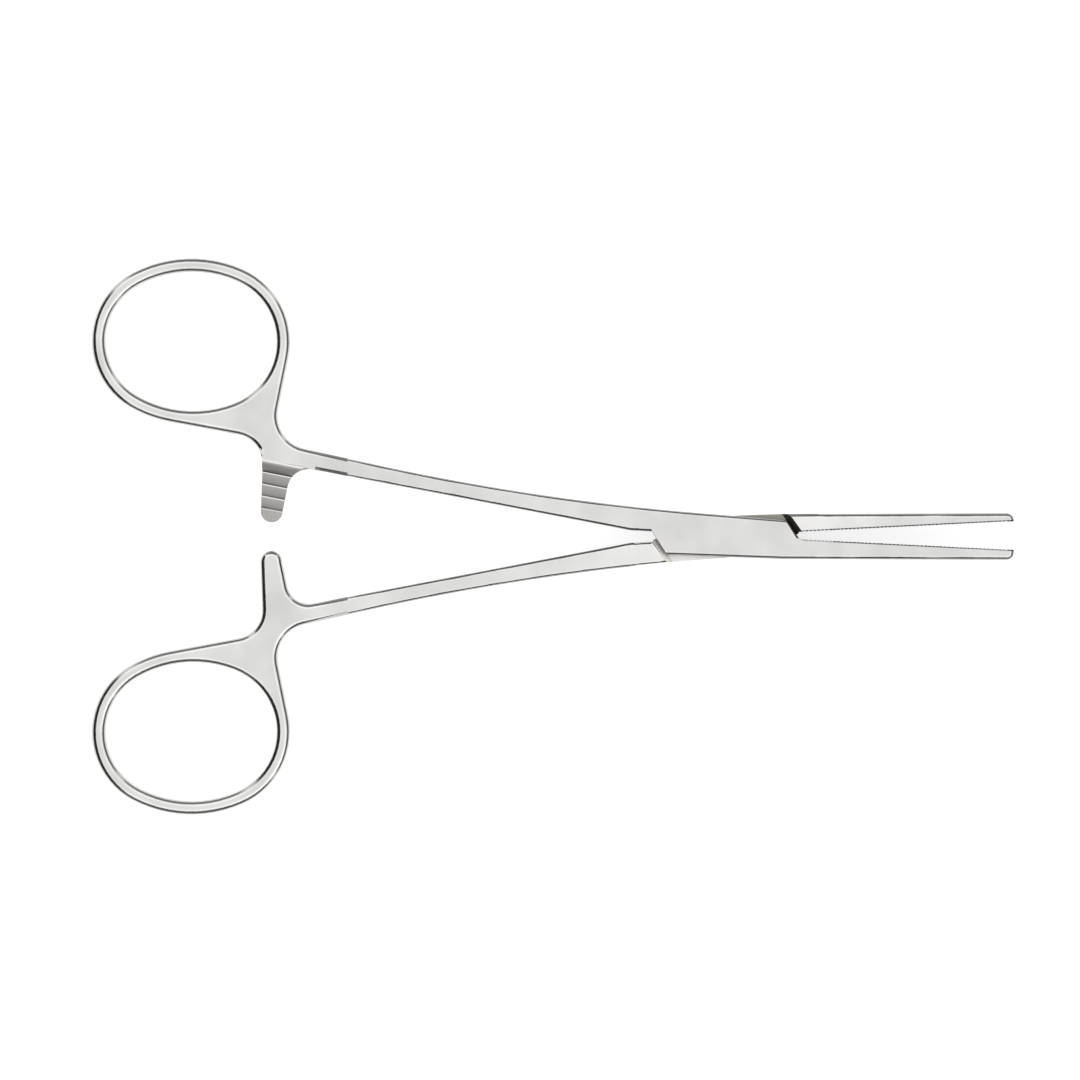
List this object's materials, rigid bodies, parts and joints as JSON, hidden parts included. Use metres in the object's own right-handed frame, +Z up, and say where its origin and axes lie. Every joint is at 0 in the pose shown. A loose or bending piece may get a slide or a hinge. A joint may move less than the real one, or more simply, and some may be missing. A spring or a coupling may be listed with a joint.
{
  "type": "hemostat forceps",
  "caption": "Straight box-lock clamping forceps with finger rings, ratchet bars, a riveted pivot and slim jaws with cross serrations over their whole length.",
  "frame": {"origin": "on the lock pin's axis, at the flat underside of the lock", "axes": "+X towards the jaw tips, +Y towards the finger ring of the box arm, +Z up, along the lock pin"},
  "size_m": [0.14, 0.0844, 0.005],
  "materials": {
    "box_arm_steel": "satin polished",
    "tongue_arm_steel": "satin polished, blasted in the lock's recess",
    "pin_steel": "satin polished, flush"
  },
  "bodies": {
    "box_arm_body": {"box_arm": "box_arm_steel", "lock_pin": "pin_steel"},
    "tongue_arm_body": {"tongue_arm": "tongue_arm_steel"}
  },
  "joints": [
    {"name": "box_lock_hinge", "type": "hinge", "parent": "box_arm_body", "child": "tongue_arm_body", "pos_m": [0, 0, 0], "axis": [0, 0, 1], "range_deg": [-5.6, 55]}
  ]
}
